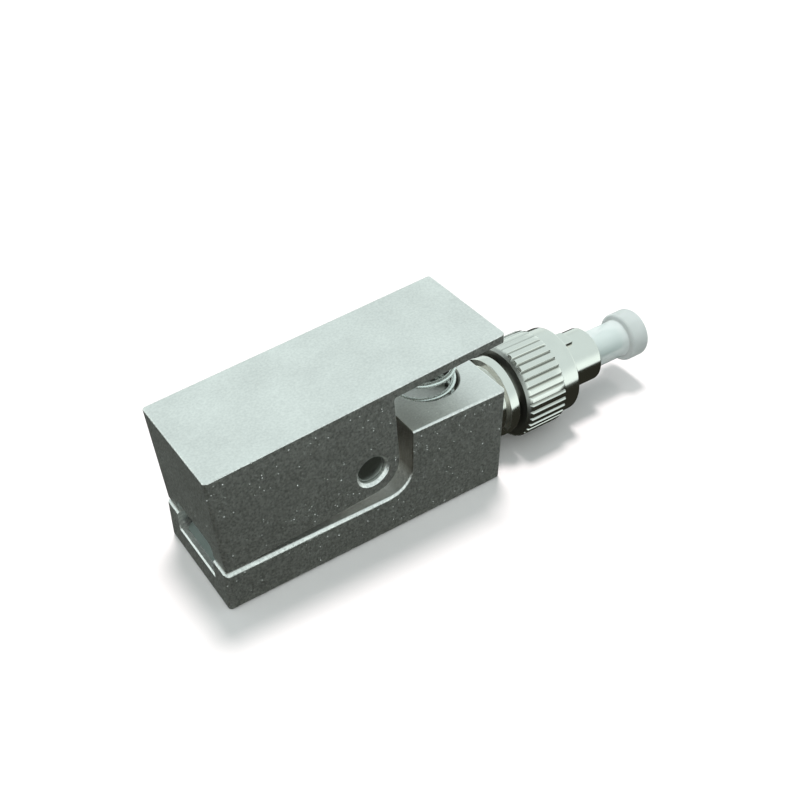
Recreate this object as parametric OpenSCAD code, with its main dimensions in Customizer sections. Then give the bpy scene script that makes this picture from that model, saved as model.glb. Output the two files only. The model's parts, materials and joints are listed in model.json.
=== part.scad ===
// Bare fibre adapter: clamp base with a sprung lever and a screw-on plug.
// Millimetres. The origin is the centre of the base's underside, +X runs along the fibre
// to the plug, +Y is the far side and +Z is up.

/* [Base] */
// Length of the base from its rear end to the face that carries the plug
base_l = 31; // [29:0.5:36]
// Width of the base and of the lever
base_w = 12; // [11:0.5:15]
// Height of the rails beside the fibre channel
rail_h = 4.57; // [4.3:0.05:5]
// Length of the tall block that holds the plug
block_l = 11; // [10.5:0.25:13]
// Height of the tall block
block_h = 11.5; // [11.25:0.25:13]
// Radius of the hollow corner between the rails and the block
corner_r = 2.43; // [1.5:0.1:2.6]
// Bevel along the outer edges of the rails
rail_bevel = 0.55; // [0.3:0.05:0.7]
// Bevel along the other edges of the base
base_bevel = 0.25; // [0.15:0.05:0.4]
// Rounding of the upright corners of the base and the lever
upright_r = 0.45; // [0.3:0.05:0.8]

/* [Fibre line] */
// Height of the fibre and plug axis above the underside
fibre_z = 5.25; // [5.2:0.05:5.6]
// Width of the channel between the rails, and of the recess above it
channel_w = 7.2; // [6.6:0.1:8]
// Height of the channel floor
floor_z = 2.55; // [2.2:0.05:2.8]
// Bevel of the floor's lip at the rear mouth
lip_bevel = 0.4; // [0.2:0.05:0.6]
// Depth of the recess in the lever's underside
recess_d = 1.75; // [1.5:0.05:2]
// Rounding of the recess's upper corners
recess_r = 0.7; // [0.3:0.1:1]
// Diameter of the bare fibre
fibre_d = 0.125; // [0.08:0.005:0.25]

/* [Groove block] */
// Gap between each side of the groove block and its rail
groove_side_gap = 0.5; // [0.3:0.05:0.8]
// Gap between the groove block and the pivot lug
groove_lug_gap = 0.3; // [0.2:0.05:0.5]
// Distance from the rear end to the foot of the entry ramp
ramp_start = 0.6; // [0.4:0.1:1.5]
// Length of the entry ramp
ramp_l = 2.4; // [1.5:0.1:3]
// Depth of the groove below the top of the block
groove_depth = 0.14; // [0.12:0.01:0.3]
// Diameter of the screws that hold the groove block
block_screw_d = 1.6; // [1.4:0.1:2]
// Distance from each screw to its end of the level land
block_screw_inset = 1.9; // [1.6:0.1:2.6]
// Height of the fibre above the screws' tips
block_screw_cover = 1.2; // [1:0.1:1.6]

/* [Lever] */
// Distance from the block's rear face back to the pivot
pivot_to_block = 4.4; // [4:0.1:5]
// Height of the pivot above the underside
pivot_z = 8.9; // [8.7:0.05:9.3]
// Radius of the lever's lower front corner about the pivot
knuckle_r = 2.95; // [2.8:0.05:3.1]
// Height of the lever's top above the pivot
lever_rise = 8.4; // [8:0.1:9.5]
// Thickness of the press plate
plate_t = 1.2; // [1:0.05:1.6]
// Gap between the lever's rear lower edge and the rails at rest
rear_gap = 0.19; // [0.1:0.01:0.3]
// How far the lever stands out past the base's rear end
rear_overhang = 0.1; // [0:0.05:0.5]
// Width of the pivot lug between the lever's cheeks
lug_w = 5.8; // [4.5:0.1:6.2]
// Gap around the lug in the lever's slot
slot_gap = 0.45; // [0.35:0.05:0.6]
// Diameter of the pivot pin
pin_d = 3; // [2.4:0.1:3.2]
// How far each end of the pin sits back in its cheek
pin_recess = 0.5; // [0.3:0.05:0.8]
// Bevel around the pin hole
pin_hole_bevel = 0.28; // [0.15:0.01:0.35]
// Bevel along the lever's top edges
lever_bevel = 0.2; // [0.1:0.05:0.3]

/* [Pressure pad] */
// Distance from the start of the land to the rubber pad
pad_rear_gap = 0.4; // [0.2:0.1:1]
// Distance from the rubber pad to the lever's slot
pad_front_gap = 2.8; // [2:0.1:4]
// Width of the rubber pad
pad_w = 5; // [3:0.25:6]

/* [Lever spring] */
// Depth of the spring pocket
pocket_depth = 2.3; // [1.8:0.1:2.4]
// Distance from the block's rear face to the pocket's centre
pocket_to_rear = 5.4; // [5:0.1:5.8]
// Outer diameter of the spring
spring_d = 6.5; // [5.6:0.1:6.8]
// Gap between the spring and its pocket
pocket_gap = 0.25; // [0.15:0.05:0.4]
// Depth of the spring's seat in the press plate
seat_depth = 0.15; // [0.1:0.05:0.3]
// Wire diameter of the spring
spring_wire = 0.5; // [0.35:0.05:0.6]
// Number of turns of the spring
spring_turns = 5.5; // [4:0.5:7]

/* [Plug body] */
// Diameter of the shank that sits in the block
shank_d = 6; // [5:0.1:6.2]
// Length of the shank
shank_l = 7; // [5:0.25:8]
// Diameter of the neck in front of the block
neck_d = 7; // [6.6:0.1:7.6]
// Length of the neck
neck_l = 2.55; // [2:0.05:3.5]
// Diameter of the collar behind the nut
collar_d = 8.66; // [8.2:0.02:9.2]
// Thickness of the collar
collar_t = 1.15; // [0.8:0.05:1.6]
// Diameter of the set screw below the shank
body_screw_d = 3; // [2:0.5:3]

/* [Coupling nut] */
// Gap between the collar and the nut
nut_gap = 0.58; // [0.5:0.02:0.9]
// Diameter over the knurl
knurl_d = 10.3; // [10:0.05:10.4]
// Length of the knurled part
knurl_l = 4.87; // [4:0.1:6]
// Number of knurl grooves
knurl_n = 36; // [28:1:44]
// Depth of the knurl grooves
knurl_depth = 0.35; // [0.2:0.01:0.4]
// Wall of the plain ring in front of the knurl
ring_wall = 1.08; // [0.9:0.02:1.3]
// Length of the plain ring
ring_l = 2.35; // [1.8:0.05:3]
// Space between the barrel and the nut's thread, where a mating sleeve goes
sleeve_space = 0.62; // [0.55:0.01:0.75]
// Thickness of the nut's rear wall
nut_wall_t = 1.5; // [1.2:0.1:2]
// Thickness of the slip ring inside the nut
slip_ring_t = 0.6; // [0.4:0.05:0.9]
// Width of the slip ring between the stem and the nut's thread
slip_ring_w = 0.81; // [0.7:0.01:0.9]
// Free travel of the nut towards the plug's front
nut_travel = 1.2; // [1.1:0.1:2]

/* [Barrel] */
// Diameter of the plug barrel
barrel_d = 6; // [5.8:0.02:6.1]
// Length of the barrel in front of the nut
barrel_out = 4.6; // [4:0.1:5.5]
// Wall of the barrel around its bores
barrel_wall = 0.65; // [0.5:0.05:0.8]
// How far the barrel's rear flange stands out
flange_step = 0.45; // [0.35:0.01:0.5]
// Thickness of the barrel's flange
flange_t = 0.8; // [0.6:0.05:1.2]
// Width of the key on the barrel
key_w = 2; // [1.6:0.05:2.1]
// Height of the key above the barrel
key_h = 0.4; // [0.25:0.01:0.42]
// Length of the key in front of the nut
key_out = 1.95; // [1.2:0.05:2.5]
// Depth of the barrel's front bore
front_bore_depth = 2.9; // [2.4:0.1:3.2]
// Thickness of the web that stops the ferrule holder
web_t = 0.8; // [0.6:0.05:1]

/* [Ferrule] */
// Diameter of the ferrule
ferrule_d = 2.5; // [2.4:0.01:2.6]
// Length of ferrule in front of the barrel
ferrule_out = 4.1; // [2.5:0.1:5]
// Thickness of the ferrule holder's flange
holder_t = 1.4; // [1:0.1:1.8]
// Length of the ferrule holder's hub behind the flange
hub_l = 1.4; // [1:0.1:1.8]
// Wall of the hub around the ferrule
hub_wall = 0.4; // [0.3:0.05:0.5]
// Diameter of the ferrule holder's tail tube
tail_d = 2; // [1.8:0.05:2.2]
// Rearward travel of the sprung ferrule
ferrule_travel = 1; // [0.6:0.1:1]
// Depth of the plug body's chamber for the ferrule spring
spring_chamber_l = 4.4; // [4:0.1:5]
// Wire diameter of the ferrule spring
ferrule_spring_wire = 0.3; // [0.2:0.05:0.35]
// Number of turns of the ferrule spring
ferrule_spring_turns = 6; // [4:0.5:8]
// Outer diameter of the guide tube
tube_d = 0.8; // [0.6:0.05:0.85]
// Inner diameter of the guide tube
tube_bore_d = 0.4; // [0.25:0.05:0.45]

/* [Dust cap] */
// Gap between the cap's tube and the barrel's front bore
cap_gap = 0.27; // [0.2:0.01:0.45]
// How far the cap's tube runs past the ferrule's tip
cap_past = 1; // [0.5:0.1:2]
// Diameter of the cap's thick end
cap_end_d = 5.46; // [5:0.02:5.8]
// Length of the cap's thick end
cap_end_l = 2.3; // [1.8:0.1:3]
// Rounding of the cap's thick end
cap_end_r = 0.35; // [0.2:0.05:0.5]

/* [Hidden] */
$fn = 64;

// Fits
seat_clear = 0.01;
run_clear = 0.03;
side_clear = 0.05;
slide_clear = 0.1;
touch_gap = 0.03;
end_clear = 0.2;

// Length by which a cut runs past the face that it opens
over = 1;

// Base
rear_x = -base_l / 2;
face_x = base_l / 2;
block_x = face_x - block_l;
pivot_x = block_x - pivot_to_block;
lug_rear_x = pivot_x - knuckle_r;

// Lever, drawn level about the pivot and then tipped so that its rear edge clears the rails
lever_rear = pivot_x - rear_x + rear_overhang;
lever_front = face_x - pivot_x;
rest_drop = pivot_z - rail_h - rear_gap;
rest_reach = sqrt(lever_rear * lever_rear + knuckle_r * knuckle_r);
rest_pitch = asin(rest_drop / rest_reach) - atan2(knuckle_r, lever_rear);
slot_r = knuckle_r + slot_gap;
slot_w = lug_w + 2 * side_clear;
recess_z = recess_d - knuckle_r;

// Groove block
groove_rear_x = rear_x + ramp_start;
groove_land_x = groove_rear_x + ramp_l;
groove_front_x = lug_rear_x - groove_lug_gap;
groove_block_w = channel_w - 2 * groove_side_gap;
groove_top_z = fibre_z - fibre_d / 2 / sin(45) + groove_depth;
screw_head_d = 1.9 * block_screw_d;
screw_head_h = (screw_head_d - block_screw_d) / 2;
screw_tip_z = fibre_z - block_screw_cover;
pad_rear_x = groove_land_x + pad_rear_gap;
pad_front_x = pivot_x - slot_r - pad_front_gap;

// Lever spring
pocket_x = block_x + pocket_to_rear;
pocket_z = block_h - pocket_depth;
plate_under = lever_rise - plate_t;
spring_reach = pocket_x - pivot_x;
seat_z = pivot_z + plate_under * cos(rest_pitch) + spring_reach * sin(rest_pitch) + seat_depth;
pocket_d = spring_d + 2 * pocket_gap;

// Plug, rear to front
neck_front = face_x + neck_l;
collar_front = neck_front + collar_t;
nut_rear = collar_front + nut_gap;
nut_front = nut_rear + knurl_l + ring_l;
slip_rear = nut_rear + nut_wall_t + touch_gap;
flange_rear = slip_rear + slip_ring_t + nut_travel;
barrel_front = nut_front + barrel_out;
web_front = barrel_front - front_bore_depth;
web_rear = web_front - web_t;
shank_rear = face_x - shank_l;
body_screw_x = (shank_rear + face_x) / 2;

barrel_bore_d = barrel_d - 2 * barrel_wall;
flange_d = barrel_d + 2 * flange_step;
nut_bore_d = barrel_d + 2 * sleeve_space;
ring_d = nut_bore_d + 2 * ring_wall;
stem_d = nut_bore_d - 2 * (run_clear + slip_ring_w + slide_clear);

// Ferrule and its holder
holder_front = web_rear - touch_gap;
holder_rear = holder_front - holder_t;
holder_d = barrel_bore_d - 2 * slide_clear;
hub_rear = holder_rear - hub_l;
hub_d = ferrule_d + 2 * hub_wall;
nose_front = holder_rear - ferrule_travel - end_clear;
nose_d = barrel_bore_d - 2 * seat_clear;
spring_rear = nose_front - spring_chamber_l;
spring_bore_d = hub_d + 2 * slide_clear;
tail_rear = spring_rear + ferrule_travel;
tail_bore_d = tail_d + 2 * slide_clear;
ferrule_rear = hub_rear + hub_wall;
ferrule_front = barrel_front + ferrule_out;
tube_front = tail_rear + ferrule_travel;
tube_rear = groove_front_x + side_clear;
drive_w = 0.8;
drive_in = 0.4;

// Dust cap
cap_d = barrel_bore_d - 2 * cap_gap;
cap_rear = web_front + ferrule_travel + end_clear;
cap_end_rear = ferrule_front + cap_past;
cap_front = cap_end_rear + cap_end_l;
cap_bore_front = cap_end_rear - slide_clear;

aluminium = [0.42, 0.44, 0.42];
nickel = [0.8, 0.82, 0.8];
steel = [0.62, 0.63, 0.62];

// Cylinder along X from x0 to x1
module rod_x(x0, x1, d, fn = 64) {
    translate([x0, 0, 0]) rotate([0, 90, 0]) cylinder(h = x1 - x0, d = d, $fn = fn);
}

// Cylinder along Y, centred on the middle plane
module rod_y(w, d, fn = 64) {
    rotate([90, 0, 0]) cylinder(h = w, d = d, center = true, $fn = fn);
}

// Box from its low corner to its high corner
module span(lo, hi) {
    translate(lo) cube(hi - lo);
}

// Solid turned about the plug axis from points of [x, radius]
module turned(points, fn = 96) {
    translate([0, 0, fibre_z]) rotate([0, 90, 0])
        rotate_extrude($fn = fn) polygon([for (p = points) [p[1], p[0]]]);
}

// Rectangle with round corners, from its low corner to its high corner
module round_rect(lo, hi, r) {
    translate(lo + [r, 0]) square([hi[0] - lo[0] - 2 * r, hi[1] - lo[1]]);
    translate(lo + [0, r]) square([hi[0] - lo[0], hi[1] - lo[1] - 2 * r]);
    for (x = [lo[0] + r, hi[0] - r], y = [lo[1] + r, hi[1] - r])
        translate([x, y]) circle(r = r, $fn = 48);
}

// Rectangle with bevelled corners, b0 at the bottom pair and b1 at the top pair
module bevel_rect(lo, hi, b0, b1) {
    polygon([
        [lo[0] + b0, lo[1]], [hi[0] - b0, lo[1]], [hi[0], lo[1] + b0], [hi[0], hi[1] - b1],
        [hi[0] - b1, hi[1]], [lo[0] + b1, hi[1]], [lo[0], hi[1] - b1], [lo[0], lo[1] + b0]
    ]);
}

// Box with round upright corners and bevelled long edges
module machined_box(lo, hi, r, b0, b1) {
    intersection() {
        translate([0, 0, lo[2]]) linear_extrude(hi[2] - lo[2])
            round_rect([lo[0], lo[1]], [hi[0], hi[1]], r);
        translate([lo[0], 0, 0]) rotate([90, 0, 90]) linear_extrude(hi[0] - lo[0])
            bevel_rect([lo[1], lo[2]], [hi[1], hi[2]], b0, b1);
        translate([0, hi[1], 0]) rotate([90, 0, 0]) linear_extrude(hi[1] - lo[1])
            bevel_rect([lo[0], lo[2]], [hi[0], hi[2]], b0, b1);
    }
}

// Puts a piece drawn level about the pivot at its place and rest tilt
module at_pivot() {
    translate([pivot_x, 0, pivot_z]) rotate([0, -rest_pitch, 0]) children();
}

// Side outline of the space above the rails, grown downwards by grow
module rail_space(w, grow) {
    r = corner_r + grow;
    x = block_x - r;
    z = rail_h + corner_r;
    top = block_h + over;
    span([rear_x - over, -w / 2, rail_h - grow], [x, w / 2, top]);
    span([x - over, -w / 2, z], [block_x, w / 2, top]);
    translate([x, 0, z]) rod_y(w, 2 * r);
}

// Bevel that follows the rail's outer edge and runs out in the hollow corner
module rail_edge(side) {
    thin = 0.01;
    hull() {
        translate([0, side * (base_w / 2 + thin), 0]) rail_space(thin, rail_bevel);
        translate([0, side * (base_w / 2 - rail_bevel), 0]) rail_space(thin, 0);
    }
}

// Lug that stands between the lever's cheeks and carries the pin
module pivot_lug() {
    translate([pivot_x, 0, pivot_z]) rod_y(lug_w, 2 * knuckle_r);
    span([lug_rear_x, -lug_w / 2, floor_z], [pivot_x + knuckle_r, lug_w / 2, pivot_z]);
    span([pivot_x, -lug_w / 2, floor_z], [block_x + over, lug_w / 2, pivot_z]);
}

module screw_places() {
    for (x = [groove_land_x + block_screw_inset, groove_front_x - block_screw_inset])
        translate([x, 0, 0]) children();
}

// Countersunk screw outline standing on the underside, grown by clear
module block_screw_shape(clear, tip) {
    cylinder(h = tip, d = block_screw_d + 2 * clear);
    cylinder(h = screw_head_h, d1 = screw_head_d + 2 * clear, d2 = block_screw_d + 2 * clear);
}

module channel_cut() {
    half = channel_w / 2;
    span([rear_x - over, -half, floor_z], [lug_rear_x, half, pivot_z]);
    translate([0, half, 0]) rotate([90, 0, 0]) linear_extrude(channel_w) polygon([
        [rear_x - over, floor_z - lip_bevel - over], [rear_x + lip_bevel + over, floor_z + over],
        [rear_x - over, floor_z + over]
    ]);
    mouth = half + base_bevel;
    translate([0, 0, floor_z]) linear_extrude(rail_h) polygon([
        [rear_x - over, mouth + over], [rear_x + base_bevel, half],
        [rear_x + base_bevel, -half], [rear_x - over, -mouth - over]
    ]);
}

module base() color(aluminium) {
    shank_bore_rear = shank_rear - end_clear;
    difference() {
        union() {
            difference() {
                machined_box([rear_x, -base_w / 2, 0], [face_x, base_w / 2, block_h],
                             upright_r, base_bevel, base_bevel);
                rail_space(base_w + over, 0);
                rail_edge(1);
                rail_edge(-1);
                translate([rear_x, 0, rail_h]) rotate([0, 45, 0])
                    cube([base_bevel * sqrt(2), base_w + over, base_bevel * sqrt(2)], center = true);
            }
            pivot_lug();
        }
        channel_cut();
        translate([0, 0, fibre_z]) rod_x(lug_rear_x - over, face_x, tube_d + 2 * seat_clear);
        translate([0, 0, fibre_z]) rod_x(shank_bore_rear, face_x + over, shank_d + 2 * seat_clear);
        translate([pivot_x, 0, pivot_z]) rod_y(base_w, pin_d + 2 * run_clear);
        translate([pocket_x, 0, pocket_z]) cylinder(h = pocket_depth + over, d = pocket_d);
        translate([body_screw_x, 0, -over]) cylinder(h = fibre_z + over, d = body_screw_d + 2 * seat_clear);
        screw_places() translate([0, 0, -seat_clear]) block_screw_shape(seat_clear, floor_z + over);
    }
}

module groove_block() color(steel) {
    half = groove_block_w / 2;
    foot_z = floor_z + seat_clear;
    foot_h = 0.2;
    groove_floor_z = groove_top_z - groove_depth;
    difference() {
        translate([0, half, 0]) rotate([90, 0, 0]) linear_extrude(groove_block_w) polygon([
            [groove_rear_x, foot_z], [groove_front_x, foot_z], [groove_front_x, groove_top_z],
            [groove_land_x, groove_top_z], [groove_rear_x, foot_z + foot_h]
        ]);
        translate([groove_rear_x - over, 0, 0]) rotate([90, 0, 90])
            linear_extrude(groove_front_x - groove_rear_x + 2 * over) polygon([
                [0, groove_floor_z], [groove_depth + over, groove_top_z + over],
                [-groove_depth - over, groove_top_z + over]
            ]);
        screw_places() cylinder(h = screw_tip_z + end_clear, d = block_screw_d + 2 * seat_clear);
    }
}

module block_screws() color(steel) screw_places() difference() {
    socket_d = 0.56 * block_screw_d;
    block_screw_shape(0, screw_tip_z);
    translate([0, 0, -over]) cylinder(h = over + socket_d / 2, d = socket_d, $fn = 6);
}

module body_screw() color(steel) {
    tip_z = fibre_z - shank_d / 2 - seat_clear;
    sunk = 0.2;
    socket_d = body_screw_d / 2;
    translate([body_screw_x, 0, sunk]) difference() {
        cylinder(h = tip_z - sunk, d = body_screw_d);
        translate([0, 0, -over]) cylinder(h = over + 0.75 * socket_d, d = socket_d, $fn = 6);
    }
}

// Slot between the lever's cheeks, open below and in front
module pivot_slot() {
    rod_y(slot_w, 2 * slot_r);
    span([-slot_r, -slot_w / 2, -knuckle_r - over], [knuckle_r + over, slot_w / 2, 0]);
    span([0, -slot_w / 2, -over], [knuckle_r + over, slot_w / 2, slot_r]);
}

module lever() color(aluminium) difference() {
    at_pivot() difference() {
        intersection() {
            machined_box([-lever_rear, -base_w / 2, -knuckle_r], [lever_front, base_w / 2, lever_rise],
                         upright_r, lever_bevel, lever_bevel);
            union() {
                span([-lever_rear, -base_w, -knuckle_r], [0, base_w, lever_rise]);
                span([-over, -base_w, 0], [knuckle_r, base_w, lever_rise]);
                rod_y(2 * base_w, 2 * knuckle_r, 96);
                span([0, -base_w, plate_under], [lever_front, base_w, lever_rise]);
            }
        }
        pivot_slot();
        translate([-lever_rear - over, 0, 0]) rotate([90, 0, 90])
            linear_extrude(lever_rear + over - slot_r + seat_clear) {
                round_rect([-channel_w / 2, -knuckle_r - 2 * recess_r], [channel_w / 2, recess_z], recess_r);
                translate([-channel_w / 2, -knuckle_r - over]) square([channel_w, over + recess_d / 2]);
            }
        rod_y(base_w + over, pin_d + 2 * seat_clear);
        for (side = [-1, 1])
            translate([0, side * (base_w / 2 - pin_hole_bevel), 0]) rotate([-90 * side, 0, 0])
                cylinder(h = pin_hole_bevel + seat_clear, d1 = pin_d, d2 = pin_d + 2 * pin_hole_bevel);
    }
    translate([pocket_x, 0, block_h]) cylinder(h = seat_z - block_h, d = pocket_d);
}

// The pad's top follows the lever's recess and its face lies flat on the groove block
module pressure_pad() color([0.15, 0.15, 0.16]) intersection() {
    span([pad_rear_x, -pad_w / 2, groove_top_z + touch_gap], [pad_front_x, pad_w / 2, pivot_z]);
    at_pivot() span([-lever_rear, -pad_w, -2 * knuckle_r], [0, pad_w, recess_z - seat_clear]);
}

module pivot_pin() color(steel) at_pivot() {
    len = base_w - 2 * pin_recess;
    edge = 0.2;
    rod_y(len - 2 * edge, pin_d);
    for (side = [-1, 1])
        translate([0, side * (len / 2 - edge), 0]) rotate([-90 * side, 0, 0])
            cylinder(h = edge, d1 = pin_d, d2 = pin_d - 2 * edge);
}

// Round-wire compression spring that stands on z = 0, with its end turns laid flat
function coil_rise(t, turns, h, wire) =
    let (free = h - 3 * wire, k = min(max((t - 1) / (turns - 2), 0), 1))
    wire / 2 + wire * min(t, 1) + free * k + wire * max(t - turns + 1, 0);

module coil_spring(h, d, wire, turns, per_turn, sides) {
    steps = round(turns * per_turn);
    mid_r = (d - wire) / 2;
    rings = [for (i = [0 : steps]) let (a = 360 * i / per_turn, z = coil_rise(i / per_turn, turns, h, wire))
        [for (j = [0 : sides - 1]) let (b = 360 * j / sides, r = mid_r + wire / 2 * cos(b))
            [r * cos(a), r * sin(a), z + wire / 2 * sin(b)]]];
    walls = [for (i = [0 : steps - 1], j = [0 : sides - 1]) let (n = (j + 1) % sides)
        [i * sides + j, (i + 1) * sides + j, (i + 1) * sides + n, i * sides + n]];
    ends = [[for (j = [0 : sides - 1]) j], [for (j = [sides - 1 : -1 : 0]) steps * sides + j]];
    polyhedron(points = [for (ring = rings) each ring], faces = concat(walls, ends), convexity = 10);
}

module lever_spring() color(steel)
    translate([pocket_x, 0, pocket_z + touch_gap])
        coil_spring(seat_z - pocket_z - 2 * touch_gap, spring_d, spring_wire, spring_turns, 24, 8);

module guide_tube() color(steel) translate([0, 0, fibre_z]) difference() {
    rod_x(tube_rear, tube_front, tube_d, 32);
    rod_x(tube_rear - over, tube_front + over, tube_bore_d, 32);
}

module connector_body() color(nickel) {
    edge = 0.12;
    turned([
        [shank_rear, tube_d / 2 + seat_clear], [shank_rear, shank_d / 2 - edge],
        [shank_rear + edge, shank_d / 2], [face_x + seat_clear, shank_d / 2],
        [face_x + seat_clear, neck_d / 2], [neck_front, neck_d / 2],
        [neck_front, collar_d / 2 - edge], [neck_front + edge, collar_d / 2],
        [collar_front - edge, collar_d / 2], [collar_front, collar_d / 2 - edge],
        [collar_front, stem_d / 2], [flange_rear - seat_clear, stem_d / 2],
        [flange_rear - seat_clear, nose_d / 2], [nose_front, nose_d / 2],
        [nose_front, spring_bore_d / 2], [spring_rear, spring_bore_d / 2],
        [spring_rear, tail_bore_d / 2], [neck_front, tail_bore_d / 2],
        [neck_front, tube_d / 2 + seat_clear]
    ]);
}

// Pair of ribs that keep the ferrule holder from turning, or of the slots they run in
module drives(x0, x1, inner_d, outer_d, w) {
    for (side = [-1, 1])
        span([x0, min(side * inner_d, side * outer_d) / 2, fibre_z - w / 2],
             [x1, max(side * inner_d, side * outer_d) / 2, fibre_z + w / 2]);
}

module barrel() color(nickel) {
    edge = 0.15;
    bore_r = barrel_bore_d / 2;
    hole_r = ferrule_d / 2 + 2 * slide_clear;
    turned([
        [flange_rear, bore_r], [flange_rear, flange_d / 2],
        [flange_rear + flange_t, flange_d / 2], [flange_rear + flange_t, barrel_d / 2],
        [barrel_front - edge, barrel_d / 2], [barrel_front, barrel_d / 2 - edge],
        [barrel_front, bore_r], [web_front, bore_r], [web_front, hole_r], [web_rear, hole_r],
        [web_rear, bore_r]
    ]);
    intersection() {
        difference() {
            span([flange_rear + flange_t / 2, -key_w / 2, fibre_z],
                 [nut_front + key_out, key_w / 2, fibre_z + barrel_d / 2 + key_h]);
            translate([0, 0, fibre_z]) rod_x(flange_rear, barrel_front, barrel_d - barrel_wall);
        }
        translate([nut_front + key_out - 2 * key_w, 0, 0]) cylinder(r = 2 * key_w, h = fibre_z + barrel_d);
    }
    drives(holder_rear - ferrule_travel / 2, web_rear + web_t / 2, barrel_bore_d - 2 * drive_in,
           barrel_bore_d + barrel_wall, drive_w);
}

// Straight grooves of the knurl, sharp at the bottom
module knurl_grooves() {
    r = knurl_d / 2;
    half_w = 0.85 * knurl_depth;
    translate([nut_rear - over, 0, fibre_z]) rotate([0, 90, 0])
        linear_extrude(over + knurl_l) for (i = [0 : knurl_n - 1])
            rotate(360 / knurl_n * (i + 0.5)) polygon([
                [r - knurl_depth, 0], [r + knurl_depth, 2 * half_w], [r + knurl_depth, -2 * half_w]
            ]);
}

module coupling_nut() color(nickel) {
    rear_bevel = 0.67;
    edge = 0.25;
    knurl_front = nut_rear + knurl_l;
    cavity_rear = nut_rear + nut_wall_t;
    bore_r = nut_bore_d / 2;
    stem_bore_r = stem_d / 2 + 2 * run_clear;
    difference() {
        turned([
            [nut_rear, stem_bore_r], [nut_rear, knurl_d / 2 - rear_bevel],
            [nut_rear + rear_bevel, knurl_d / 2], [knurl_front - edge / 2, knurl_d / 2],
            [knurl_front, knurl_d / 2 - edge / 2], [knurl_front, ring_d / 2],
            [nut_front - edge, ring_d / 2], [nut_front, ring_d / 2 - edge],
            [nut_front, bore_r + edge], [nut_front - edge, bore_r],
            [cavity_rear, bore_r], [cavity_rear, stem_bore_r]
        ]);
        knurl_grooves();
    }
}

module slip_ring() color([0.85, 0.85, 0.82]) {
    inner_r = stem_d / 2 + slide_clear;
    outer_r = nut_bore_d / 2 - run_clear;
    slip_front = slip_rear + slip_ring_t;
    turned([[slip_rear, inner_r], [slip_rear, outer_r], [slip_front, outer_r], [slip_front, inner_r]]);
}

module ferrule_holder() color(nickel) difference() {
    tube_clear = tube_d / 2 + side_clear;
    socket_r = ferrule_d / 2 + seat_clear;
    turned([
        [tail_rear, tube_clear], [tail_rear, tail_d / 2], [hub_rear, tail_d / 2],
        [hub_rear, hub_d / 2], [holder_rear, hub_d / 2], [holder_rear, holder_d / 2],
        [holder_front, holder_d / 2], [holder_front, socket_r], [ferrule_rear, socket_r],
        [ferrule_rear, tube_clear]
    ]);
    drives(holder_rear - slide_clear, holder_front + slide_clear, barrel_bore_d - 2 * drive_in - slide_clear,
           barrel_bore_d + over, drive_w + slide_clear);
}

module ferrule() color([0.95, 0.95, 0.93]) {
    tip = 0.35;
    cone_l = 1;
    bore_r = fibre_d / 2;
    rear = ferrule_rear + seat_clear;
    turned([
        [rear, tube_d / 2], [rear, ferrule_d / 2],
        [ferrule_front - tip, ferrule_d / 2], [ferrule_front, ferrule_d / 2 - tip],
        [ferrule_front, bore_r], [rear + cone_l, bore_r]
    ], 64);
}

module ferrule_spring() color(steel)
    translate([spring_rear + touch_gap, 0, fibre_z]) rotate([0, 90, 0])
        coil_spring(hub_rear - spring_rear - 2 * touch_gap, hub_d - 2 * slide_clear,
                    ferrule_spring_wire, ferrule_spring_turns, 20, 6);

module dust_cap() color([0.85, 0.9, 0.88, 0.6]) {
    bore_r = ferrule_d / 2 + 2 * seat_clear;
    edge = 0.1;
    lead = 0.2;
    arc_x = cap_front - cap_end_r;
    rear_arc_x = cap_end_rear + cap_end_r;
    arc_r = cap_end_d / 2 - cap_end_r;
    turned(concat(
        [[cap_rear, bore_r + lead], [cap_rear, cap_d / 2 - edge], [cap_rear + edge, cap_d / 2],
         [cap_end_rear, cap_d / 2]],
        [for (a = [180 : -15 : 90]) [rear_arc_x + cap_end_r * cos(a), arc_r + cap_end_r * sin(a)]],
        [for (a = [90 : -15 : 0]) [arc_x + cap_end_r * cos(a), arc_r + cap_end_r * sin(a)]],
        [[cap_front, 0], [cap_bore_front, 0], [cap_bore_front, bore_r], [cap_rear + lead, bore_r]]
    ));
}

base();
groove_block();
block_screws();
body_screw();
lever();
pressure_pad();
pivot_pin();
lever_spring();
guide_tube();
connector_body();
barrel();
coupling_nut();
slip_ring();
ferrule_holder();
ferrule();
ferrule_spring();
dust_cap();
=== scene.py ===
import json
import math

import bmesh
import bpy
from bpy.props import FloatProperty, FloatVectorProperty, IntProperty, PointerProperty
from bpy.types import Operator, Panel, PropertyGroup
from mathutils import Matrix, Vector


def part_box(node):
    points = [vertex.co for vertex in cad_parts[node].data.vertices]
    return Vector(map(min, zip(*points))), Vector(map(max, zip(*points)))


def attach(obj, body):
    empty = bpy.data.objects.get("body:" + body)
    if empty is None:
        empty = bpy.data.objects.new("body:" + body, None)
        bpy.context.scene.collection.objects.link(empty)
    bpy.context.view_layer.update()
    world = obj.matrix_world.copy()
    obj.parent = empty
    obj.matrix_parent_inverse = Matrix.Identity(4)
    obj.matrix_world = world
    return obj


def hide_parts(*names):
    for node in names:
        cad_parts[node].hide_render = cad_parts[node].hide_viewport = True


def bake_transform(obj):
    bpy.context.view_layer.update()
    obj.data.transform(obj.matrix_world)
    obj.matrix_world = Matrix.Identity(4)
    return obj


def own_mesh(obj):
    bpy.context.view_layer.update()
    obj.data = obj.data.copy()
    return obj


bl_info = {
    "name": "Bare Fibre Adapter",
    "version": (1, 0, 0),
    "blender": (4, 5, 0),
    "location": "View3D > Sidebar > Adapter",
    "description": "Builds a bare fibre adapter: clamp base, sprung lever and screw-on plug",
    "category": "Object",
}

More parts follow.
